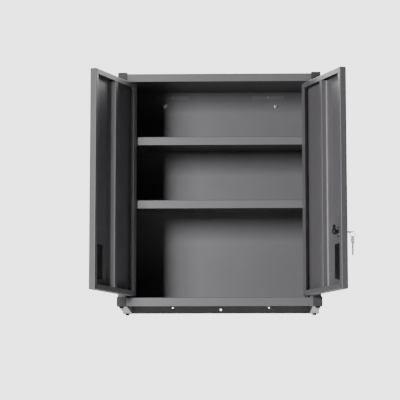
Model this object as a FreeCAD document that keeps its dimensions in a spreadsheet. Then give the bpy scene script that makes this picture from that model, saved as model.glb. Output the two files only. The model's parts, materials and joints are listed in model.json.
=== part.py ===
"""Hanging wall cabinet with two folded-steel doors, shown with both doors open.

Frame: +Z up, the front faces -Y, the wall is the plane Y = 0. The origin is on the wall plane,
midway between the two hanging brackets, at the height of their hooks. Door pieces are drawn in
the door's own frame: the pin axis is its Z axis, the skin faces -Y and the door's foot is Z = 0.
"""
import FreeCAD, Part
import os
import re
import Sketcher

DIMENSIONS = [
    ("width", 604), ("depth", 303), ("height", 702), ("hang_height", 684),
    ("sheet", 1), ("bend", 2), ("post", 25), ("post_lip", 12),
    ("top_rail", 24), ("bottom_rail", 26), ("rear_flange", 27.5),
    ("cavity", 9), ("panel_foot", 22), ("panel_head", 2),
    ("shelf_width", 550), ("shelf_flange", 25), ("upper_shelf_top", 513.5), ("lower_shelf_top", 321),
    ("cap", 28), ("cap_side", 3), ("cap_front", 2), ("cap_floor", 2), ("cap_above", 4), ("cap_bevel", 1.5),
    ("recess_radius", 8.5), ("recess_depth", 1), ("recess_drop", 14),
    ("stud_radius", 6.5), ("stud_length", 5.5), ("stud_inset", 14), ("stud_round", 1.5),
    ("screw_head", 4.5), ("screw_shank", 2), ("screw_dome", 0.6), ("screw_reach", 9), ("drive", 5),
    ("drive_width", 1), ("side_rail_wall", 1.2),
    ("clip_thick", 1.5), ("clip_reach", 8), ("clip_length", 30), ("clip_height", 22), ("clip_hold", 16),
    ("door_width", 270), ("door_height", 642), ("door_thick", 20), ("door_foot", 30.5),
    ("pin_inset", 11), ("pin_x", 261.5), ("pin_y", 293), ("open_angle", 112.5),
    ("hinge_lip", 21), ("free_lip", 14.5), ("end_lip", 15.5), ("mitre", 2.4),
    ("pin_radius", 3), ("pin_inside", 16), ("pin_outside", 12), ("collar_radius", 5.5), ("collar_thick", 2),
    ("bush_bore", 3.05), ("bush_radius", 4.9), ("bush_flange", 7), ("bush_flange_thick", 3.9),
    ("bush_length", 6), ("plate_width", 30), ("plate_reach", 24), ("plate_thick", 2),
    ("hat_centre", 124), ("hat_crown", 7), ("hat_base", 9), ("hat_foot", 23), ("hat_gap", 0.5), ("hat_bend", 8),
    ("crown_bend", 1.5),
    ("cup_x", 213.5), ("cup_z", 83), ("bezel_width", 39), ("bezel_height", 111), ("bezel_proud", 2),
    ("bezel_corner", 5), ("cup_width", 32), ("cup_height", 99), ("cup_deep", 13), ("cup_wall", 1.5),
    ("mouth_bevel", 1.3), ("bezel_round", 0.8),
    ("lock_x", 214), ("lock_z", 168), ("barrel_radius", 9.5), ("barrel_flange", 11.5), ("barrel_end", 10),
    ("flange_proud", 3), ("flange_round", 1.2), ("plug_proud", 0.4),
    ("plug_radius", 6), ("plug_clear", 0.05), ("plug_end", 11),
    ("nut_across", 26), ("nut_thick", 5), ("cam_length", 20), ("cam_half", 7.5), ("cam_thick", 2.5),
    ("cam_turn", 90), ("cam_bolt_radius", 5), ("cam_bolt_thick", 4),
    ("key_thick", 2), ("key_blade", 9.5), ("key_reach", 35), ("bow_radius", 12.5), ("key_hole", 3.2),
    ("hole_inset", 4.9), ("key_depth", 18), ("slot_clear", 0.3),
    ("ring_radius", 8.5), ("ring_wire", 0.8), ("ring_side", 6.5), ("ring_drop", 5.5),
    ("spare_length", 56), ("spare_turn", -45), ("spare_seat", 1.4),
    ("bolt_x", 175), ("bolt_z", 657), ("bolt_head", 4.8), ("bolt_head_thick", 4.5), ("bolt_shank", 3.9),
    ("washer_radius", 6.4), ("washer_thick", 1.2), ("bolt_nut", 7), ("bolt_nut_thick", 3.5), ("bolt_dome", 2),
    ("bracket_width", 110), ("bracket_low", 643), ("bracket_thick", 2.5), ("hook_drop", 8), ("hook_rise", 6),
    ("strip_length", 101), ("strip_height", 11), ("strip_z", 679), ("strip_shift", 24),
    ("strip_screw", 1.6), ("strip_screw_thick", 0.8),
    ("centre_hole", 3.25), ("centre_hole_z", 12),
    ("side_hole", 2.25), ("side_hole_x", 150), ("side_hole_z", 18),
    ("play", 0.1), ("notch", 1.6), ("notch_long", 2), ("notch_step", 4), ("root_extra", 1.5),
    ("bow_overlap", 3),
]
SIZE = dict(DIMENSIONS)

doc = FreeCAD.newDocument("wall_cabinet")
sheet = doc.addObject("Spreadsheet::Sheet", "Dims")
for row, (alias, value) in enumerate(DIMENSIONS, start=1):
    sheet.set("A%d" % row, alias)
    sheet.set("B%d" % row, str(value))
    sheet.setAlias("B%d" % row, alias)
doc.recompute()

pieces = []


def bound(text):
    """The expression with every plain word read from the sheet."""
    return re.sub(r"\b([a-z][a-z_]*)\b(?!\()", r"Dims.\1", str(text))


def amount(text):
    """The value of an expression of sheet words."""
    return float(sheet.evalExpression(bound(text)))


def bind(obj, values):
    for name, text in values.items():
        obj.setExpression(name, bound(text))


def place(obj, x=0, y=0, z=0):
    bind(obj, {"Placement.Base.x": x, "Placement.Base.y": y, "Placement.Base.z": z})
    return obj


# ---- primitives and booleans --------------------------------------------------------------

def box(name, size, corner):
    obj = doc.addObject("Part::Box", name)
    bind(obj, {"Length": size[0], "Width": size[1], "Height": size[2]})
    return place(obj, *corner)


def rod(name, radius, length, start, along="z"):
    """A cylinder from start, running towards +Z or +Y."""
    obj = doc.addObject("Part::Cylinder", name)
    if along == "y":
        obj.Placement.Rotation = FreeCAD.Rotation(FreeCAD.Vector(1, 0, 0), -90)
    bind(obj, {"Radius": radius, "Height": length})
    return place(obj, *start)


def prism(name, across, length, start):
    """A hexagonal prism along +Y, with its distance across the flats."""
    obj = doc.addObject("Part::Prism", name)
    obj.Polygon = 6
    obj.Placement.Rotation = FreeCAD.Rotation(FreeCAD.Vector(1, 0, 0), -90)
    bind(obj, {"Circumradius": "(%s) / 1.7320508" % across, "Height": length})
    return place(obj, *start)


def fuse(name, shapes):
    obj = doc.addObject("Part::MultiFuse", name)
    obj.Shapes = shapes
    obj.Refine = True
    return obj


def cut(name, base, tools):
    obj = doc.addObject("Part::Cut", name)
    obj.Base = base
    obj.Tool = tools[0] if len(tools) == 1 else fuse(name + "_tools", tools)
    return obj


def group(name, shapes):
    """Identical pieces kept as separate solids of one sub-part."""
    obj = doc.addObject("Part::Compound", name)
    obj.Links = shapes
    return obj


def rounded(name, base, radius, chosen):
    """Round the edges of a boolean that the test picks."""
    doc.recompute()
    obj = doc.addObject("Part::Fillet", name)
    obj.Base = base
    picked = [i for i, edge in enumerate(base.Shape.Edges, start=1) if chosen(edge)]
    obj.Edges = [(i, radius, radius) for i in picked]
    return obj


# ---- bodies with sketches -----------------------------------------------------------------

def body(name):
    return doc.addObject("PartDesign::Body", name + "_body")


def outline(owner, name, points, height=0, role="XY_Plane"):
    """A closed outline through points whose two coordinates are expressions."""
    sketch = owner.newObject("Sketcher::SketchObject", name)
    plane = [item for item in owner.Origin.OriginFeatures if item.Role == role][0]
    sketch.AttachmentSupport = [(plane, "")]
    sketch.MapMode = "FlatFace"
    sketch.setExpression("AttachmentOffset.Base.z", bound(height))
    corners = [FreeCAD.Vector(amount(x), amount(y), 0) for x, y in points]
    count = len(corners)
    for index in range(count):
        sketch.addGeometry(Part.LineSegment(corners[index], corners[(index + 1) % count]), False)
    for index in range(count):
        sketch.addConstraint(Sketcher.Constraint("Coincident", index, 2, (index + 1) % count, 1))
    for index, (x, y) in enumerate(points):
        for kind, text, value in (("DistanceX", x, corners[index].x), ("DistanceY", y, corners[index].y)):
            rule = sketch.addConstraint(Sketcher.Constraint(kind, -1, 1, index, 1, value))
            sketch.setExpression("Constraints[%d]" % rule, bound(text))
    return sketch


def rectangle(owner, name, low, high, height=0, role="XY_Plane"):
    corners = [(low[0], low[1]), (high[0], low[1]), (high[0], high[1]), (low[0], high[1])]
    return outline(owner, name, corners, height, role)


def circle(owner, name, centre, radius, height=0, role="XZ_Plane"):
    sketch = owner.newObject("Sketcher::SketchObject", name)
    plane = [item for item in owner.Origin.OriginFeatures if item.Role == role][0]
    sketch.AttachmentSupport = [(plane, "")]
    sketch.MapMode = "FlatFace"
    sketch.setExpression("AttachmentOffset.Base.z", bound(height))
    middle = FreeCAD.Vector(amount(centre[0]), amount(centre[1]), 0)
    sketch.addGeometry(Part.Circle(middle, FreeCAD.Vector(0, 0, 1), amount(radius)), False)
    rules = (("DistanceX", middle.x, centre[0]), ("DistanceY", middle.y, centre[1]))
    for kind, value, text in rules:
        rule = sketch.addConstraint(Sketcher.Constraint(kind, -1, 1, 0, 3, value))
        sketch.setExpression("Constraints[%d]" % rule, bound(text))
    rule = sketch.addConstraint(Sketcher.Constraint("Radius", 0, amount(radius)))
    sketch.setExpression("Constraints[%d]" % rule, bound(radius))
    return sketch


def pad(owner, sketch, length, back=False):
    feature = owner.newObject("PartDesign::Pad", sketch.Name + "_pad")
    feature.Profile = sketch
    feature.Reversed = back
    bind(feature, {"Length": length})
    doc.recompute()
    return feature


def pocket(owner, sketch, length, up=True):
    """Cut from the sketch; up runs along the sketch's normal. The volume must go down."""
    before = owner.Tip.Shape.Volume
    feature = owner.newObject("PartDesign::Pocket", sketch.Name + "_pocket")
    feature.Profile = sketch
    feature.Reversed = up
    bind(feature, {"Length": length})
    doc.recompute()
    if not feature.Shape.Volume < before:
        raise RuntimeError("%s cuts nothing" % sketch.Name)
    return feature


def soften(owner, radius, chosen):
    """Round the edges of the body that the test picks."""
    base = owner.Tip
    names = ["Edge%d" % i for i, edge in enumerate(base.Shape.Edges, start=1) if chosen(edge)]
    feature = owner.newObject("PartDesign::Fillet", owner.Name + "_bends")
    feature.Base = (base, names)
    bind(feature, {"Radius": radius})
    doc.recompute()
    return feature


def bevel(owner, size, chosen):
    base = owner.Tip
    names = ["Edge%d" % i for i, edge in enumerate(base.Shape.Edges, start=1) if chosen(edge)]
    feature = owner.newObject("PartDesign::Chamfer", owner.Name + "_bevel")
    feature.Base = (base, names)
    bind(feature, {"Size": size})
    doc.recompute()
    return feature


def middle_of(edge):
    return edge.valueAt((edge.FirstParameter + edge.LastParameter) / 2)


def near(value, text):
    return abs(value - amount(text)) < 0.01


def count_near(point, planes):
    """How many of the named planes the point lies in; a plane is an axis and an expression."""
    return sum(near(getattr(point, axis), text) for axis, text in planes)


# ---- naming and placing -------------------------------------------------------------------

def carcass_piece(label, obj):
    """Carcass heights are drawn above the bottom rail's lower edge."""
    obj.Label = label
    place(obj, 0, 0, "-hang_height")
    pieces.append(obj)


def door_piece(label, obj, side):
    """Put a piece drawn in the door's frame on its pin, turned to the open position."""
    obj.Label = label
    obj.Placement = FreeCAD.Placement(FreeCAD.Vector(), FreeCAD.Rotation(FreeCAD.Vector(0, 0, side), 1))
    place(obj, "%d * pin_x" % side, "-pin_y", "door_foot - hang_height")
    bind(obj, {"Placement.Rotation.Angle": "open_angle"})
    pieces.append(obj)


# ---- carcass ------------------------------------------------------------------------------

def side_panel(name, side):
    """One sheet: outer skin, and a post at each end with a lip turned back towards the skin."""
    owner = body(name)
    inner = "width / 2 - post"
    path = [
        ("width / 2", "-depth"), ("width / 2", "0"), (inner, "0"), (inner, "-post"),
        (inner + " + post_lip", "-post"), (inner + " + post_lip", "-post + sheet"),
        (inner + " + sheet", "-post + sheet"), (inner + " + sheet", "-sheet"),
        ("width / 2 - sheet", "-sheet"), ("width / 2 - sheet", "-depth + sheet"),
        (inner + " + sheet", "-depth + sheet"), (inner + " + sheet", "-depth + post - sheet"),
        (inner + " + post_lip", "-depth + post - sheet"), (inner + " + post_lip", "-depth + post"),
        (inner, "-depth + post"), (inner, "-depth"),
    ]
    if side < 0:
        path = [(mirrored(x), y) for x, y in path]
    profile = outline(owner, name + "_profile", path, "cap_floor")
    pad(owner, profile, "height + cap_above - 2 * cap_floor")
    corners = (("x", mirrored("width / 2") if side < 0 else "width / 2"),
               ("x", mirrored(inner) if side < 0 else inner), ("y", "-depth"), ("y", "0"))
    soften(owner, "bend", lambda edge: edge.Length > 300 and count_near(middle_of(edge), corners) == 2)
    screw = circle(owner, name + "_screw", ("%d * (width / 2) - %d * (recess_drop - cap_side)" % (side, side),
                                           "height + cap_above - recess_drop"), "screw_shank", "depth + 1")
    pocket(owner, screw, "5", up=False)
    carcass_piece(name, owner)


def mirrored(text):
    """The same sum with every sign turned."""
    flipped = "".join({"+": "-", "-": "+"}.get(letter, letter) for letter in str(text))
    return flipped if flipped.startswith(("+", "-")) else "-" + flipped


def tray(name, low, high, flange_low, top, deck_holes=(), flange_holes=()):
    """An upside-down tray: a deck with a flange turned down all round."""
    owner = body(name)
    base = rectangle(owner, name + "_deck", low, high, flange_low)
    pad(owner, base, "%s - (%s)" % (top, flange_low))
    inner = rectangle(owner, name + "_hollow", (low[0] + " + sheet", low[1] + " + sheet"),
                      (high[0] + " - sheet", high[1] + " - sheet"), flange_low)
    pocket(owner, inner, "%s - (%s) - sheet" % (top, flange_low))
    planes = (("z", top), ("y", low[1]))
    soften(owner, "bend", lambda edge: edge.Length > 300 and count_near(middle_of(edge), planes) == 2)
    for index, (x, y, radius) in enumerate(deck_holes):
        hole = circle(owner, "%s_pin_%d" % (name, index), (x, y), radius, top, "XY_Plane")
        pocket(owner, hole, "sheet * 2", up=False)
    for index, (x, z, radius) in enumerate(flange_holes):
        hole = circle(owner, "%s_hole_%d" % (name, index), (x, z), radius, "cavity + sheet")
        pocket(owner, hole, "sheet * 2")
    return owner


def trays():
    between = "width / 2 - post"
    low, high = ("-width / 2 + post", "-depth"), (between, "-cavity - sheet")
    holes = [("%d * pin_x" % side, "-pin_y", "bush_radius + play") for side in (-1, 1)]
    fixing = [("0", "centre_hole_z", "centre_hole")]
    fixing += [("%d * side_hole_x" % side, "side_hole_z", "side_hole") for side in (-1, 1)]
    carcass_piece("bottom_tray", tray("bottom_tray", low, high, "0", "bottom_rail", holes, fixing))
    owner = tray("top_tray", low, high, "height - top_rail", "height")
    drop = rectangle(owner, "top_tray_rear", (low[0], "-cavity - 2 * sheet"), high, "height - rear_flange")
    pad(owner, drop, "rear_flange - sheet")
    carcass_piece("top_tray", owner)
    for name in ("upper_shelf", "lower_shelf"):
        top = name + "_top"
        shelf_low = ("-shelf_width / 2", "-depth + post")
        shelf_high = ("shelf_width / 2", "-cavity - 2 * sheet")
        carcass_piece(name, tray(name, shelf_low, shelf_high, top + " - shelf_flange", top))


def back_panel():
    panel = box("back_sheet", ("width - 2 * post", "sheet", "height - panel_head - panel_foot"),
                ("-width / 2 + post", "-cavity - sheet", "panel_foot"))
    holes = [rod("back_hole_%d" % side, "bolt_shank + play", "sheet + 2",
                 ("%d * bolt_x" % side, "-cavity - sheet - 1", "bolt_z"), "y") for side in (-1, 1)]
    carcass_piece("back_panel", cut("back_panel_cut", panel, holes))


def corner_cap(name, side, front, top):
    """A moulded corner: floor, outer wall and end wall around the end of a post."""
    owner = body(name)
    inner, outer = "width / 2 - post", "width / 2 + cap_side"
    near_y = ("-depth - cap_front", "-depth - cap_front + cap") if front else ("-cap", "0")
    hollow_y = ("-depth", "-depth + cap") if front else ("-cap - 1", "0")
    x_range, hollow_x = (inner, outer), (inner + " - 1", "width / 2")
    if side < 0:
        x_range, hollow_x = [mirrored(x) for x in x_range], [mirrored(x) for x in hollow_x]
    base_z = "height + cap_above - cap" if top else "0"
    block = rectangle(owner, name + "_block", (x_range[0], near_y[0]), (x_range[1], near_y[1]), base_z)
    pad(owner, block, "cap")
    outer_x, outer_z = x_range[1], ("height + cap_above" if top else "0")
    planes = (("x", outer_x), ("y", near_y[0] if front else "0"), ("z", outer_z))
    bevel(owner, "cap_bevel", lambda edge: count_near(middle_of(edge), planes) == 2)
    well_z = base_z + " - 1" if top else "cap_floor"
    well = rectangle(owner, name + "_well", (hollow_x[0], hollow_y[0]), (hollow_x[1], hollow_y[1]), well_z)
    pocket(owner, well, "cap - cap_floor + 1")
    if top and front:
        centre = ("%d * (width / 2) - %d * (recess_drop - cap_side)" % (side, side),
                  "height + cap_above - recess_drop")
        recess = circle(owner, name + "_recess", centre, "recess_radius", "depth + cap_front - recess_depth")
        pocket(owner, recess, "recess_depth + 1")
        hole = circle(owner, name + "_hole", centre, "screw_shank", "depth - 1")
        pocket(owner, hole, "cap_front + 2")
    carcass_piece(name, owner)


def caps_and_feet():
    for side, hand in ((-1, "left"), (1, "right")):
        for front, place_name in ((True, "front"), (False, "rear")):
            for top, level in ((True, "top"), (False, "bottom")):
                corner_cap("%s_%s_%s_cap" % (level, place_name, hand), side, front, top)
            foot = rod("foot_rod_%s_%s" % (place_name, hand), "stud_radius", "stud_length",
                       ("%d * (width / 2 + cap_side - stud_inset)" % side,
                        "-depth - cap_front + stud_inset" if front else "-stud_inset", "-stud_length"))
            round_foot = rounded("foot_%s_%s" % (place_name, hand), foot, SIZE["stud_round"],
                                 lambda edge: near(middle_of(edge).z, "-stud_length") and edge.Length > 20)
            carcass_piece("foot_stud_%s_%s" % (place_name, hand), round_foot)


def cap_screws():
    screws = []
    for side in (-1, 1):
        x = "%d * (width / 2) - %d * (recess_drop - cap_side)" % (side, side)
        z = "height + cap_above - recess_drop"
        head = rod("cap_screw_head_%d" % side, "screw_head", "recess_depth + screw_dome",
                   (x, "-depth - cap_front - screw_dome", z), "y")
        shank = rod("cap_screw_shank_%d" % side, "screw_shank - play", "screw_reach",
                    (x, "-depth - cap_front", z), "y")
        slots = [box("cap_slot_%s_%d" % (way, side), size, (corner_x, "-depth - cap_front - 1", corner_z))
                 for way, size, corner_x, corner_z in (
                     ("flat", ("drive", "2 * screw_dome", "drive_width"),
                      x + " - drive / 2", z + " - drive_width / 2"),
                     ("tall", ("drive_width", "2 * screw_dome", "drive"),
                      x + " - drive_width / 2", z + " - drive / 2"))]
        screws.append(cut("cap_screw_%d" % side, fuse("cap_screw_solid_%d" % side, [head, shank]), slots))
    carcass_piece("cap_screws", group("cap_screw_pair", screws))


def side_rails():
    """Square tubes that tie the front and rear posts together, under and over each side."""
    for side, hand in ((-1, "left"), (1, "right")):
        for level, foot in (("bottom", "0"), ("top", "height - post + sheet")):
            x = "width / 2 - post" if side > 0 else "-width / 2 + sheet"
            start = "-depth - cap_front + cap"
            length = "depth + cap_front - 2 * cap"
            name = "%s_%s" % (level, hand)
            tube = box("rail_tube_" + name, ("post - sheet", length, "post - sheet"), (x, start, foot))
            inside = "post - sheet - 2 * side_rail_wall"
            bore = box("rail_bore_" + name, (inside, length + " + 2", inside),
                       (x + " + side_rail_wall", start + " - 1", foot + " + side_rail_wall"))
            carcass_piece("%s_side_rail" % name, cut("rail_" + name, tube, [bore]))


def shelf_clips():
    """Steel clips on the posts: a plate and a ledge that carries the shelf's end."""
    clips = []
    for shelf in ("upper_shelf_top", "lower_shelf_top"):
        for side in (-1, 1):
            for front in (True, False):
                tag = "%s_%d_%d" % (shelf, side, front)
                plate_x = "width / 2 - post - clip_thick" if side > 0 else "-width / 2 + post"
                ledge_x = "width / 2 - post - clip_reach" if side > 0 else "-width / 2 + post"
                start = "-depth + post - clip_length + clip_hold" if front else "-clip_length - cavity - sheet"
                ledge_y = "-depth + post" if front else "-clip_length - cavity - sheet"
                foot = shelf + " - shelf_flange - clip_thick"
                plate = box("clip_plate_" + tag, ("clip_thick", "clip_length", "clip_height"),
                            (plate_x, start, foot))
                ledge = box("clip_ledge_" + tag, ("clip_reach", "clip_hold", "clip_thick"),
                            (ledge_x, ledge_y, foot))
                clips.append(fuse("clip_" + tag, [plate, ledge]))
    carcass_piece("shelf_clips", group("clip_set", clips))


def hanging_gear():
    """Hooked brackets behind the back panel, their bolts and nuts, and the strips on the rear flange."""
    bolts, nuts, strips, strip_screws = [], [], [], []
    for side, hand in ((-1, "left"), (1, "right")):
        x = "%d * bolt_x" % side
        plate = box("bracket_plate_" + hand,
                    ("bracket_width", "bracket_thick", "hang_height + hook_rise - bracket_low"),
                    (x + " - bracket_width / 2", "-cavity", "bracket_low"))
        arm = box("bracket_arm_" + hand, ("bracket_width", "cavity", "bracket_thick"),
                  (x + " - bracket_width / 2", "-cavity", "hang_height"))
        lip = box("bracket_lip_" + hand, ("bracket_width", "bracket_thick", "hook_drop"),
                  (x + " - bracket_width / 2", "-bracket_thick", "hang_height - hook_drop"))
        hole = rod("bracket_hole_" + hand, "bolt_shank + play", "bracket_thick + 2",
                   (x, "-cavity - 1", "bolt_z"), "y")
        solid = fuse("bracket_solid_" + hand, [plate, arm, lip])
        carcass_piece("hang_bracket_" + hand, cut("bracket_" + hand, solid, [hole]))
        front = "-cavity - sheet"
        head = rod("bolt_head_" + hand, "bolt_head", "bolt_head_thick",
                   (x, front + " - washer_thick - bolt_head_thick", "bolt_z"), "y")
        dome = rounded("bolt_dome_" + hand, head, SIZE["bolt_dome"], lambda edge: edge.Length > 30 and near(
            middle_of(edge).y, front + " - washer_thick - bolt_head_thick"))
        washer = rod("bolt_washer_" + hand, "washer_radius", "washer_thick",
                     (x, front + " - washer_thick", "bolt_z"), "y")
        shank = rod("bolt_shank_" + hand, "bolt_shank", "sheet + bracket_thick + bolt_nut_thick",
                    (x, front, "bolt_z"), "y")
        bolts.append(fuse("bolt_" + hand, [dome, washer, shank]))
        nut = prism("nut_block_" + hand, "2 * bolt_nut", "bolt_nut_thick",
                    (x, "-cavity + bracket_thick", "bolt_z"))
        bore = rod("nut_bore_" + hand, "bolt_shank", "bolt_nut_thick + 2",
                   (x, "-cavity + bracket_thick - 1", "bolt_z"), "y")
        nuts.append(cut("nut_" + hand, nut, [bore]))
        face = "-cavity - 2 * sheet"
        strip = box("strip_block_" + hand, ("strip_length", "sheet", "strip_height"),
                    (x + " - %d * strip_shift - strip_length / 2" % side, face + " - sheet", "strip_z"))
        strips.append(strip)
        strip_screws.append(rod("strip_screw_" + hand, "strip_screw", "strip_screw_thick", (
            x + " - %d * strip_shift" % side, face + " - sheet - strip_screw_thick",
            "strip_z + strip_height / 2"), "y"))
    carcass_piece("hang_bolts", group("bolt_pair", bolts))
    carcass_piece("hang_nuts", group("nut_pair", nuts))
    carcass_piece("rear_flange_strips", group("strip_pair", strips))
    carcass_piece("strip_screws", group("strip_screw_pair", strip_screws))


def hinge_seats():
    """Bushes for the pins, and the plates inside the top tray that hold the upper bushes."""
    for side, hand in ((-1, "left"), (1, "right")):
        x = "%d * pin_x" % side
        foot = "height - top_rail"
        plate_x = "width / 2 - post - sheet - plate_width" if side > 0 else "-width / 2 + post + sheet"
        plate = box("hinge_plate_block_" + hand, ("plate_width", "plate_reach", "plate_thick"),
                    (plate_x, "-depth + sheet", foot))
        hole = rod("hinge_plate_hole_" + hand, "bush_radius + play", "plate_thick + 2",
                   (x, "-pin_y", foot + " - 1"))
        carcass_piece("top_hinge_plate_" + hand, cut("hinge_plate_" + hand, plate, [hole]))
        for level, collar_z, stem_z in (("bottom", "bottom_rail", "bottom_rail - bush_length"),
                                        ("top", foot + " - bush_flange_thick", foot)):
            name = "%s_%s" % (level, hand)
            collar = rod("bush_collar_" + name, "bush_flange", "bush_flange_thick", (x, "-pin_y", collar_z))
            stem = rod("bush_stem_" + name, "bush_radius", "bush_length", (x, "-pin_y", stem_z))
            bore = rod("bush_bore_" + name, "bush_bore", "40", (x, "-pin_y", stem_z + " - 15"))
            solid = fuse("bush_solid_" + name, [collar, stem])
            carcass_piece("%s_hinge_bush_%s" % (level, hand), cut("bush_" + name, solid, [bore]))


# ---- doors --------------------------------------------------------------------------------

def sections(name, owner, side, regions):
    """One folded sheet as touching solids, each the part of it inside a region across, deep and tall."""
    solids = []
    for tag, across, deep, tall in regions:
        if side > 0:
            across = (mirrored(across[1]), mirrored(across[0]))
        spans = ["%s - (%s)" % (high, low) for low, high in (across, deep, tall)]
        region = box("%s_%s_region" % (name, tag), spans, (across[0], deep[0], tall[0]))
        solid = doc.addObject("Part::Common", "%s_%s" % (name, tag))
        solid.Base = owner
        solid.Tool = region
        solids.append(solid)
    return group(name + "_sections", solids)


def pan_sections(name, owner, side):
    """The pan's skin, and its four folded edges from where the outer bend ends."""
    seam, rear = "-door_thick / 2 + bend", "door_thick / 2 + 1"
    hinge, free = "-pin_inset + hinge_lip", "door_width - pin_inset - free_lip - mitre - 2 * sheet"
    start, end = "-pin_inset - 1", "door_width - pin_inset + 1"
    foot, head = "-1", "door_height + 1"
    return sections(name, owner, side, (
        ("skin", (start, end), ("-door_thick / 2 - 1", seam), (foot, head)),
        ("hinge_edge", (start, hinge), (seam, rear), (foot, head)),
        ("free_edge", (free, end), (seam, rear), (foot, head)),
        ("foot_edge", (hinge, free), (seam, rear), (foot, "end_lip")),
        ("head_edge", (hinge, free), (seam, rear), ("door_height - end_lip", head)),
    ))


def door_pan(hand, side):
    """A folded pan: skin, four walls and lips turned in; cut-outs for the pins and the handle."""
    name = hand + "_door_pan"
    owner = body(name)
    face, rear = "-door_thick / 2", "door_thick / 2"
    ends = ("-pin_inset", "door_width - pin_inset")

    def across(low, high):
        return (low, high) if side < 0 else (mirrored(high), mirrored(low))

    x0, x1 = across(*ends)
    pad(owner, rectangle(owner, name + "_outer", (x0, face), (x1, rear)), "door_height")
    h0, h1 = across(ends[0] + " + sheet", ends[1] + " - sheet")
    hollow = rectangle(owner, name + "_hollow", (h0, face + " + sheet"), (h1, rear + " - sheet"), "sheet")
    pocket(owner, hollow, "door_height - 2 * sheet")
    w0, w1 = across(ends[0] + " + hinge_lip", ends[1] + " - free_lip")
    window = rectangle(owner, name + "_window", (w0, "0"), (w1, rear + " + 1"), "end_lip")
    pocket(owner, window, "door_height - 2 * end_lip")
    outer = (("x", x0), ("x", x1), ("y", face), ("y", rear), ("z", "0"), ("z", "door_height"))
    soften(owner, "bend", lambda edge: edge.Length > 200 and count_near(middle_of(edge), outer) == 2)
    for level, corner, inner in (("low", "2.5", "end_lip + 1"),
                                 ("high", "door_height - 2.5", "door_height - end_lip - 1")):
        points = [("door_width - pin_inset - 2.5", corner), ("door_width - pin_inset - 2.5 - mitre", corner),
                  ("door_width - pin_inset - free_lip - 1 - mitre", inner),
                  ("door_width - pin_inset - free_lip - 1", inner)]
        if side > 0:
            points = [(mirrored(x), z) for x, z in points]
        slot = outline(owner, "%s_mitre_%s" % (name, level), points, "-door_thick / 2 + 2", "XZ_Plane")
        pocket(owner, slot, "4", up=False)
    pins = circle(owner, name + "_pins", ("0", "0"), "pin_radius", "-1", "XY_Plane")
    pocket(owner, pins, "door_height + 2")
    half_w, half_h = "cup_width / 2", "cup_height / 2"
    c0, c1 = across("cup_x - " + half_w, "cup_x + " + half_w)
    opening = rectangle(owner, name + "_opening", (c0, "cup_z - " + half_h), (c1, "cup_z + " + half_h),
                        "door_thick / 2 + 1", "XZ_Plane")
    pocket(owner, opening, "sheet + 3", up=False)
    if side > 0:
        lock = circle(owner, name + "_lock", ("-lock_x", "lock_z"), "barrel_radius", "door_thick / 2 + 1")
        pocket(owner, lock, "sheet + 3", up=False)
    door_piece(name, pan_sections(name, owner, side), side)


def stiffener(hand, side):
    """Vertical hat section between the upper and lower lips, its crown level with the lips."""
    name = hand + "_door_stiffener"
    owner = body(name)
    low, high = "-door_thick / 2 + sheet", "door_thick / 2"
    half = [("hat_foot", low), ("hat_foot", low + " + sheet"), ("hat_base", low + " + sheet"),
            ("hat_crown", high)]
    under = [("hat_crown - sheet", high + " - sheet"), ("hat_base - sheet", low)]
    path = [("hat_centre + " + x, y) for x, y in half]
    path += [("hat_centre - " + x, y) for x, y in reversed(half)]
    path += [("hat_centre - hat_base + sheet", low), ("hat_centre - hat_crown + sheet", under[0][1])]
    path += [("hat_centre + hat_crown - sheet", under[0][1]), ("hat_centre + hat_base - sheet", low)]
    if side > 0:
        path = [(mirrored(x), y) for x, y in path]
    profile = outline(owner, name + "_profile", path, "end_lip + hat_gap")
    pad(owner, profile, "door_height - 2 * end_lip - 2 * hat_gap")
    soften(owner, "crown_bend", lambda edge: edge.Length > 300 and near(middle_of(edge).y, high))
    inside_bend = (("x", path[2][0]), ("x", path[5][0]), ("y", low + " + sheet"))
    soften(owner, "hat_bend", lambda edge: edge.Length > 300 and count_near(middle_of(edge), inside_bend) == 2)
    deep, tall = (low + " - 1", high + " + 1"), ("0", "door_height")
    left, right = "hat_centre - hat_base - hat_bend", "hat_centre + hat_base + hat_bend"
    door_piece(name, sections(name, owner, side, (
        ("near_foot", ("0", left), deep, tall),
        ("crown", (left, right), deep, tall),
        ("far_foot", (right, "2 * hat_centre"), deep, tall),
    )), side)


def handle_cup(hand, side):
    """Black recessed pull: a bezel on the skin and a cup behind it."""
    name = hand + "_handle_cup"
    owner = body(name)
    x = "%d * cup_x" % -side

    def frame(tag, width, height, depth):
        return rectangle(owner, name + tag, (x + " - %s / 2" % width, "cup_z - %s / 2" % height),
                         (x + " + %s / 2" % width, "cup_z + %s / 2" % height), depth, "XZ_Plane")

    pad(owner, frame("_bezel", "bezel_width", "bezel_height", "door_thick / 2"), "bezel_proud")
    soften(owner, "bezel_corner", lambda edge: abs(edge.Length - SIZE["bezel_proud"]) < 0.01)
    pad(owner, frame("_shell", "cup_width", "cup_height", "door_thick / 2"), "cup_deep", back=True)
    mouth = frame("_mouth", "(cup_width - 2 * cup_wall)", "(cup_height - 2 * cup_wall)",
                  "door_thick / 2 + bezel_proud")
    pocket(owner, mouth, "cup_deep + bezel_proud - cup_wall", up=False)
    front = "-door_thick / 2 - bezel_proud"
    inside = (SIZE["cup_width"] / 2, SIZE["cup_height"] / 2)

    def on_mouth(edge):
        point = middle_of(edge)
        within = abs(point.x - amount(x)) < inside[0] and abs(point.z - SIZE["cup_z"]) < inside[1]
        return near(point.y, front) and within

    bevel(owner, "mouth_bevel", on_mouth)
    soften(owner, "bezel_round", lambda edge: near(middle_of(edge).y, front) and not on_mouth(edge))
    door_piece(name, owner, side)


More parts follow.
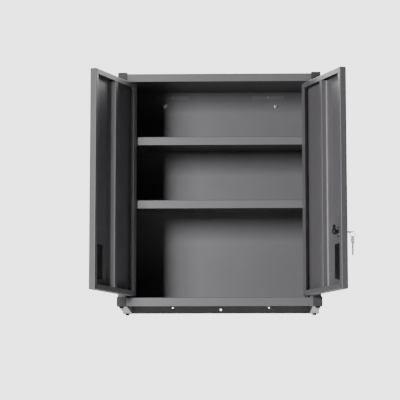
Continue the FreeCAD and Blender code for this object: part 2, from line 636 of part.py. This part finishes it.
def hinge_pins(hand, side):
    pins = []
    levels = (("low", "-pin_outside", "sheet"),
              ("high", "door_height - pin_inside", "door_height - sheet - collar_thick"))
    for level, start, collar_z in levels:
        name = "%s_%s" % (level, hand)
        stem = rod("pin_stem_" + name, "pin_radius", "pin_inside + pin_outside", ("0", "0", start))
        collar = rod("pin_collar_" + name, "collar_radius", "collar_thick", ("0", "0", collar_z))
        pins.append(fuse("pin_" + name, [stem, collar]))
    door_piece(hand + "_hinge_pins", group(hand + "_pin_pair", pins), side)


def lock():
    """Cam lock on the right door: barrel and nut on the door; plug, cam, bolt and key turn together."""
    x, z = "-lock_x", "lock_z"
    face = "-door_thick / 2"
    flange = rod("barrel_flange_disc", "barrel_flange", "flange_proud", (x, face + " - flange_proud", z), "y")
    round_flange = rounded("barrel_flange_round", flange, SIZE["flange_round"], lambda edge: near(
        middle_of(edge).y, face + " - flange_proud") and edge.Length > 40)
    tube = rod("barrel_tube", "barrel_radius", "door_thick / 2 + barrel_end", (x, face, z), "y")
    bore = rod("barrel_bore", "plug_radius + plug_clear", "60", (x, "-30", z), "y")
    barrel = cut("barrel", fuse("barrel_solid", [round_flange, tube]), [bore])
    door_piece("lock_barrel", barrel, 1)
    nut = prism("lock_nut_block", "nut_across", "nut_thick", (x, face + " + sheet", z))
    nut_bore = rod("lock_nut_bore", "barrel_radius", "nut_thick + 2", (x, face + " + sheet - 1", z), "y")
    door_piece("lock_nut", cut("lock_nut_cut", nut, [nut_bore]), 1)

    core = rod("plug_core", "plug_radius", "door_thick / 2 + flange_proud + plug_proud + plug_end",
               (x, face + " - flange_proud - plug_proud", z), "y")
    slot = box("plug_slot", ("key_blade + slot_clear", "key_depth + 3", "key_thick + slot_clear"),
               (x + " - (key_blade + slot_clear) / 2", face + " - flange_proud - 2",
                z + " - (key_thick + slot_clear) / 2"))
    door_piece("lock_plug", cut("plug", core, [slot]), 1)

    arm = box("cam_arm", ("cam_length - cam_half", "cam_thick", "2 * cam_half"), ("0", "plug_end", "-cam_half"))
    root = rod("cam_root", "cam_half + root_extra", "cam_thick", ("0", "plug_end", "0"), "y")
    tip = rod("cam_tip", "cam_half", "cam_thick", ("cam_length - cam_half", "plug_end", "0"), "y")
    cam = fuse("cam_solid", [arm, root, tip])
    cam.Placement.Rotation = FreeCAD.Rotation(FreeCAD.Vector(0, -1, 0), SIZE["cam_turn"])
    place(cam, x, "0", z)
    door_piece("lock_cam", group("cam_in_place", [cam]), 1)
    bolt = prism("cam_bolt_block", "2 * cam_bolt_radius", "cam_bolt_thick", (x, "plug_end + cam_thick", z))
    door_piece("cam_bolt", group("cam_bolt_in_place", [bolt]), 1)


def flat_key(name, blade, from_bow):
    """A key lying in the XY plane: bow centre at the origin, blade towards +Y, hole towards -Y."""
    bow = rod(name + "_bow", "bow_radius", "key_thick", ("0", "0", "-key_thick / 2"))
    shank = box(name + "_shank", ("key_blade", blade, "key_thick"),
                ("-key_blade / 2", from_bow, "-key_thick / 2"))
    hole = rod(name + "_hole", "key_hole", "key_thick + 2",
               ("0", "-bow_radius + hole_inset", "-key_thick / 2 - 1"))
    notches = [box("%s_notch_%d" % (name, i), ("notch", "notch_long", "key_thick + 2"),
                   ("key_blade / 2 - notch * %s" % part, "%s + %s - notch_step * %d" % (from_bow, blade, i),
                    "-key_thick / 2 - 1")) for i, part in enumerate(("0.75", "1", "0.55"), start=1)]
    return cut(name + "_cut", fuse(name + "_solid", [bow, shank]), [hole] + notches)


def keys():
    x, z = "-lock_x", "lock_z"
    face = "-door_thick / 2"
    bow_y = face + " - key_reach + bow_radius"
    key = flat_key("key", "key_reach - flange_proud + key_depth - 2 * bow_radius + bow_overlap",
                   "bow_radius - bow_overlap")
    place(key, x, bow_y, z)
    door_piece("key", group("key_in_place", [key]), 1)

    hole_y = face + " - key_reach + hole_inset"
    torus = doc.addObject("Part::Torus", "ring_torus")
    bind(torus, {"Radius1": "ring_radius", "Radius2": "ring_wire"})
    torus.Placement.Rotation = FreeCAD.Rotation(FreeCAD.Vector(0, 1, 0), 90)
    place(torus, x, hole_y + " - ring_side", z + " - ring_drop")
    door_piece("key_ring", group("ring_in_place", [torus]), 1)

    spare = flat_key("spare", "spare_length - 2 * bow_radius + bow_overlap", "bow_radius - bow_overlap")
    upright = FreeCAD.Rotation(FreeCAD.Vector(1, 0, 0), -90)
    turn = FreeCAD.Rotation(FreeCAD.Vector(0, 0, 1), SIZE["spare_turn"])
    spare.Placement.Rotation = turn.multiply(upright)
    place(spare, x, hole_y + " - ring_side",
          z + " - ring_drop - ring_radius - spare_seat - bow_radius + hole_inset")
    door_piece("spare_key", group("spare_in_place", [spare]), 1)


def build():
    for side, hand in ((-1, "left"), (1, "right")):
        side_panel(hand + "_side_panel", side)
    trays()
    back_panel()
    caps_and_feet()
    cap_screws()
    side_rails()
    shelf_clips()
    hanging_gear()
    hinge_seats()
    for side, hand in ((-1, "left"), (1, "right")):
        door_pan(hand, side)
        stiffener(hand, side)
        handle_cup(hand, side)
        hinge_pins(hand, side)
    lock()
    keys()


def check():
    doc.recompute()
    for obj in doc.Objects:
        if "Invalid" in obj.State or "Error" in obj.State:
            raise RuntimeError("%s failed: %s" % (obj.Name, obj.State))
    for obj in pieces:
        if obj.Shape.isNull() or not obj.Shape.isValid():
            raise RuntimeError("%s has no valid shape" % obj.Label)


build()
check()
os.makedirs("parts", exist_ok=True)
for piece in pieces:
    piece.Shape.exportStep("parts/%s.step" % piece.Label)
print("%d sub-parts" % len(pieces))
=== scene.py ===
"""Looks of the hanging wall cabinet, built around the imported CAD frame.

Everything is in metres in the CAD's frame: +Z up, the front faces -Y, the wall is Y = 0.
"""
import json
import math

import bpy
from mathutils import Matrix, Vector


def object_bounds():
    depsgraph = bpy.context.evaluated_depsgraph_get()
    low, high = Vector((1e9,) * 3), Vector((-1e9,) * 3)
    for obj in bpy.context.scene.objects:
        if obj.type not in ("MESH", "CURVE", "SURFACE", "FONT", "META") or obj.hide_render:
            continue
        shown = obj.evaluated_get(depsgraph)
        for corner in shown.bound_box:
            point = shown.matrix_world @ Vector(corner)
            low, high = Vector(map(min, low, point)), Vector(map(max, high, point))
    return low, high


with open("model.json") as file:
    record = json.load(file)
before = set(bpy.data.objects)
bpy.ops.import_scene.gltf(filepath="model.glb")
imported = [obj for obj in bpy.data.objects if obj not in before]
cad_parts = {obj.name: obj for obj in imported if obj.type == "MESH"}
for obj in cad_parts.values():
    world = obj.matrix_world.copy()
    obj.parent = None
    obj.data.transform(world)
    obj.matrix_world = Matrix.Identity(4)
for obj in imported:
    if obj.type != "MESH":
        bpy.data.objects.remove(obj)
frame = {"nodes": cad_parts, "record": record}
cad_low, cad_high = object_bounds()
MM = 0.001

# Colours are linear RGB, with an alpha where the world takes one.
COAT = (0.12, 0.1145, 0.124)
PALE_COAT = (0.16, 0.158, 0.162)
BLACK_COAT = (0.016, 0.016, 0.017)
CAP_GREY = (0.04, 0.0385, 0.041)
RUBBER_BLACK = (0.018, 0.018, 0.018)
HANDLE_BLACK = (0.006, 0.006, 0.007)
BUSH_BLACK = (0.015, 0.015, 0.015)
ALUMINIUM = (0.62, 0.62, 0.6)
CHROME = (0.84, 0.85, 0.87)
ZINC = (0.6, 0.61, 0.62)
DULL_ZINC = (0.5, 0.51, 0.52)
NICKEL = (0.5, 0.43, 0.34)
BRASS = (0.48, 0.36, 0.23)
FLOOR_DARKEST = (0.8, 0.8, 0.79)
FLOOR_LIGHTEST = (0.84, 0.84, 0.83)

FLOOR_SIZE = 14.0
FLOOR_DROP = 1.25  # from the cabinet's foot to the floor
CABINET_MIDDLE = (0, -0.15, -0.33)
FLOOR_BEHIND = (0, 3.2, -2.0)

AMBIENT_COLOUR = (0.86, 0.87, 0.87, 1)
AMBIENT_STRENGTH = 0.02
BACKDROP_COLOUR = (0.81, 0.815, 0.812, 1)
BACKDROP_STRENGTH = 4.0

EYE = (0.0805, -5.7607, -1.1252)
TURN_LEFT = math.radians(1.45)
TILT_UP = math.radians(7.91)
LEVEL = math.radians(90)  # a camera with no turn looks straight down
LENS_MM = 166.14
SENSOR_MM = 36.0
FARTHEST_SEEN = 100

# ---- node helpers -------------------------------------------------------------------------


def scaled(colour, factor):
    return tuple(channel * factor for channel in colour)


class Nodes:
    """A small wrapper that builds one material's node tree."""

    def __init__(self, name):
        self.material = bpy.data.materials.new(name)
        self.material.use_nodes = True
        self.tree = self.material.node_tree
        self.shader = self.tree.nodes["Principled BSDF"]
        self.place = self.add("ShaderNodeTexCoord").outputs["Object"]

    def add(self, kind, **settings):
        node = self.tree.nodes.new(kind)
        for key, value in settings.items():
            setattr(node, key, value)
        return node

    def link(self, source, target):
        self.tree.links.new(source, target)

    def stretched(self, scale):
        """Object coordinates scaled on each axis, so that noise runs as streaks."""
        mapping = self.add("ShaderNodeMapping")
        mapping.inputs["Scale"].default_value = scale
        self.link(self.place, mapping.inputs["Vector"])
        return mapping.outputs["Vector"]

    def noise(self, scale, detail=2.0, roughness=0.5, vector=None):
        node = self.add("ShaderNodeTexNoise")
        node.inputs["Scale"].default_value = scale
        node.inputs["Detail"].default_value = detail
        node.inputs["Roughness"].default_value = roughness
        self.link(vector or self.place, node.inputs["Vector"])
        return node.outputs["Fac"]

    def spots(self, scale):
        """How far a point is from the middle of its Voronoi cell."""
        node = self.add("ShaderNodeTexVoronoi")
        node.inputs["Scale"].default_value = scale
        self.link(self.place, node.inputs["Vector"])
        return node.outputs["Distance"]

    def ramp(self, source, low, high, start=0.35, end=0.65):
        """A colour between two ends, read from a 0 to 1 source."""
        node = self.add("ShaderNodeValToRGB")
        first, last = node.color_ramp.elements
        first.position, last.position = start, end
        first.color, last.color = (*low, 1), (*high, 1)
        self.link(source, node.inputs["Fac"])
        return node.outputs["Color"]

    def shades(self, source, colour, darkest, lightest, start=0.3, end=0.7):
        """One colour from darkest to lightest times itself, read from a 0 to 1 source."""
        return self.ramp(source, scaled(colour, darkest), scaled(colour, lightest), start, end)

    def span(self, source, low, high, start=0.3, end=0.7):
        """A number between two ends, read from a 0 to 1 source."""
        node = self.add("ShaderNodeMapRange")
        node.inputs["From Min"].default_value = start
        node.inputs["From Max"].default_value = end
        node.inputs["To Min"].default_value = low
        node.inputs["To Max"].default_value = high
        self.link(source, node.inputs["Value"])
        return node.outputs["Result"]

    def mix(self, first, second, share):
        """Two colours mixed by the second one's share, a number or a source."""
        node = self.add("ShaderNodeMix", data_type="RGBA")
        if isinstance(share, float):
            node.inputs["Factor"].default_value = share
        else:
            self.link(share, node.inputs["Factor"])
        self.link(first, node.inputs["A"])
        self.link(second, node.inputs["B"])
        return node.outputs["Result"]

    def colour(self, source):
        self.link(source, self.shader.inputs["Base Color"])

    def roughness(self, source, smooth, dull):
        """Roughness between two ends, read from a 0 to 1 source."""
        self.link(self.span(source, smooth, dull), self.shader.inputs["Roughness"])

    def bump(self, source, strength, distance):
        node = self.add("ShaderNodeBump")
        node.inputs["Strength"].default_value = strength
        node.inputs["Distance"].default_value = distance
        self.link(source, node.inputs["Height"])
        self.link(node.outputs["Normal"], self.shader.inputs["Normal"])

    def fixed(self, **values):
        for name, value in values.items():
            self.shader.inputs[name.replace("_", " ")].default_value = value


# ---- materials ----------------------------------------------------------------------------


def powder_coat(name, colour, grain=1500.0):
    """Satin powder coat: faint mottling and sandy grain in the colour, orange peel on top."""
    nodes = Nodes(name)
    mottle = nodes.noise(scale=9.0, detail=3.0, roughness=0.55)
    sand = nodes.noise(scale=grain, detail=3.0, roughness=0.6)
    broad = nodes.shades(mottle, colour, darkest=0.93, lightest=1.07)
    speck = nodes.shades(sand, colour, darkest=0.82, lightest=1.18)
    nodes.colour(nodes.mix(broad, speck, share=0.45))
    nodes.roughness(nodes.noise(scale=60.0, detail=4.0, roughness=0.6), smooth=0.4, dull=0.48)
    peel = nodes.noise(scale=grain * 0.6, roughness=0.55)
    nodes.bump(peel, strength=0.28, distance=0.12 * MM)
    nodes.fixed(Metallic=0.0, Specular_IOR_Level=0.75)
    return nodes.material


def moulded(name, colour, smooth, dull, grain=2600.0, strength=0.25):
    """Moulded plastic or rubber with a spark-eroded grain."""
    nodes = Nodes(name)
    nodes.colour(nodes.shades(nodes.noise(scale=35.0, detail=3.0), colour, darkest=0.9, lightest=1.12))
    nodes.roughness(nodes.noise(scale=180.0, detail=3.0), smooth, dull)
    nodes.bump(nodes.noise(scale=grain), strength, distance=0.08 * MM)
    return nodes.material


def metal(name, colour, smooth, dull, streak=(1, 1, 1), scale=400.0):
    """Bare or plated metal: fine grain, drawn out into streaks by streak, and smudged gloss."""
    nodes = Nodes(name)
    grain = nodes.noise(scale, detail=4.0, roughness=0.6, vector=nodes.stretched(streak))
    nodes.colour(nodes.shades(grain, colour, darkest=0.9, lightest=1.04))
    nodes.roughness(nodes.noise(scale=25.0, detail=3.0), smooth, dull)
    nodes.bump(grain, strength=0.12, distance=0.05 * MM)
    nodes.fixed(Metallic=1.0)
    return nodes.material


def zinc(name, colour):
    """Zinc plating with its soft spangle."""
    nodes = Nodes(name)
    nodes.colour(nodes.shades(nodes.spots(scale=320.0), colour, darkest=0.86, lightest=1.05, start=0.1))
    nodes.roughness(nodes.noise(scale=140.0, detail=3.0), smooth=0.28, dull=0.45)
    nodes.bump(nodes.noise(scale=900.0), strength=0.1, distance=0.05 * MM)
    nodes.fixed(Metallic=1.0)
    return nodes.material


def worn_plating(name, plating, base):
    """Plating dulled by handling, with the base metal showing where it is rubbed through."""
    nodes = Nodes(name)
    rub = nodes.noise(scale=160.0, detail=4.0, roughness=0.65)
    coarse = nodes.noise(scale=300.0, detail=3.0)
    fine = nodes.noise(scale=500.0, detail=3.0)
    over = nodes.shades(fine, plating, darkest=0.9, lightest=1.05, start=0.35, end=0.65)
    under = nodes.shades(coarse, base, darkest=0.85, lightest=1.05, start=0.35, end=0.65)
    nodes.colour(nodes.mix(over, under, share=nodes.span(rub, 0, 1, start=0.45)))
    nodes.roughness(rub, smooth=0.34, dull=0.5)
    nodes.bump(nodes.noise(scale=1200.0), strength=0.12, distance=0.04 * MM)
    nodes.fixed(Metallic=0.35)
    return nodes.material


MATERIALS = {
    "powder_coat": powder_coat("powder_coat", COAT),
    "strip_steel": powder_coat("strip_steel", PALE_COAT),
    "black_steel": powder_coat("black_steel", BLACK_COAT, grain=2200.0),
    "cap_plastic": moulded("cap_plastic", CAP_GREY, smooth=0.45, dull=0.6),
    "bush_plastic": moulded("bush_plastic", BUSH_BLACK, smooth=0.45, dull=0.6),
    "handle_plastic": moulded("handle_plastic", HANDLE_BLACK, smooth=0.3, dull=0.42, strength=0.12),
    "stud_rubber": moulded(
        "stud_rubber", RUBBER_BLACK, smooth=0.65, dull=0.8, grain=1800.0, strength=0.35
    ),
    "rail_aluminium": metal(
        "rail_aluminium", ALUMINIUM, smooth=0.38, dull=0.5, streak=(1, 0.04, 1), scale=1500.0
    ),
    "chrome": metal("chrome", CHROME, smooth=0.2, dull=0.32),
    "zinc_steel": zinc("zinc_steel", ZINC),
    "bracket_zinc": zinc("bracket_zinc", DULL_ZINC),
    "key_brass": worn_plating("key_brass", NICKEL, BRASS),
}


def dress_frame():
    """Every CAD node takes the material of its slot."""
    for row in frame["record"]["subparts"]:
        node = frame["nodes"][row["node"]]
        node.data.materials.clear()
        node.data.materials.append(MATERIALS[row["material_slot"]])


# ---- floor, light and camera --------------------------------------------------------------


def floor_material():
    """Matt pale floor with broad, faint patches."""
    nodes = Nodes("floor")
    nodes.colour(nodes.ramp(nodes.noise(scale=1.5), FLOOR_DARKEST, FLOOR_LIGHTEST))
    nodes.fixed(Roughness=0.85)
    return nodes.material


def stage():
    """A plain pale floor well under the hanging cabinet."""
    bpy.ops.mesh.primitive_plane_add(size=FLOOR_SIZE, location=(0, 0, cad_low.z - FLOOR_DROP))
    floor = bpy.context.object
    floor.name = "floor"
    floor.data.materials.append(floor_material())


def studio_world():
    """The camera sees a pale backdrop, and the object is lit by a much weaker ambient light."""
    world = bpy.data.worlds.new("studio")
    bpy.context.scene.world = world
    world.use_nodes = True
    nodes, link = world.node_tree.nodes, world.node_tree.links.new
    ambient = nodes["Background"]
    ambient.inputs["Color"].default_value = AMBIENT_COLOUR
    ambient.inputs["Strength"].default_value = AMBIENT_STRENGTH
    backdrop = nodes.new("ShaderNodeBackground")
    backdrop.inputs["Color"].default_value = BACKDROP_COLOUR
    backdrop.inputs["Strength"].default_value = BACKDROP_STRENGTH
    blend = nodes.new("ShaderNodeMixShader")
    choice, lights_object, seen = blend.inputs
    link(nodes.new("ShaderNodeLightPath").outputs["Is Camera Ray"], choice)
    link(ambient.outputs["Background"], lights_object)
    link(backdrop.outputs["Background"], seen)
    link(blend.outputs["Shader"], nodes["World Output"].inputs["Surface"])


def area_light(name, place, width, height, watts, target=CABINET_MIDDLE):
    """A rectangular light that faces its target."""
    data = bpy.data.lights.new(name, "AREA")
    data.shape = "RECTANGLE"
    data.size = width
    data.size_y = height
    data.energy = watts
    lamp = bpy.data.objects.new(name, data)
    lamp.location = place
    lamp.rotation_euler = (Vector(target) - Vector(place)).to_track_quat("-Z", "Y").to_euler()
    bpy.context.collection.objects.link(lamp)


def lights():
    """A soft box in front and to the left, level with the cabinet's top, shapes the front.

    The overhead one and the two at the back light the top, sides and back for the other views.
    The small one on the right stands level with the open doors' ends, so it reaches the keys
    and not the inside. The last one shines on the floor behind.
    """
    area_light("key", place=(-1.52, -3.63, 0.01), width=0.9, height=0.95, watts=148)
    area_light("over", place=(0, -0.6, 3.2), width=3.0, height=3.0, watts=12)
    area_light("back_left", place=(-2.6, 2.6, 1.6), width=2.0, height=2.0, watts=130)
    area_light("back_right", place=(2.8, 1.6, 0.9), width=2.0, height=2.0, watts=90)
    area_light("right", place=(3.0, -0.55, -0.45), width=0.4, height=0.4, watts=9)
    area_light("behind", place=(0, 3.4, 2.6), width=3.0, height=3.0, watts=150, target=FLOOR_BEHIND)


def camera():
    """Long lens, under the cabinet and a little to its right, tilted up."""
    data = bpy.data.cameras.new("camera")
    data.sensor_width = SENSOR_MM
    data.lens = LENS_MM
    data.clip_end = FARTHEST_SEEN
    shot = bpy.data.objects.new("camera", data)
    bpy.context.collection.objects.link(shot)
    bpy.context.scene.camera = shot
    shot.location = EYE
    shot.rotation_euler = (LEVEL + TILT_UP, 0, TURN_LEFT)


stage()
studio_world()
dress_frame()
lights()
camera()
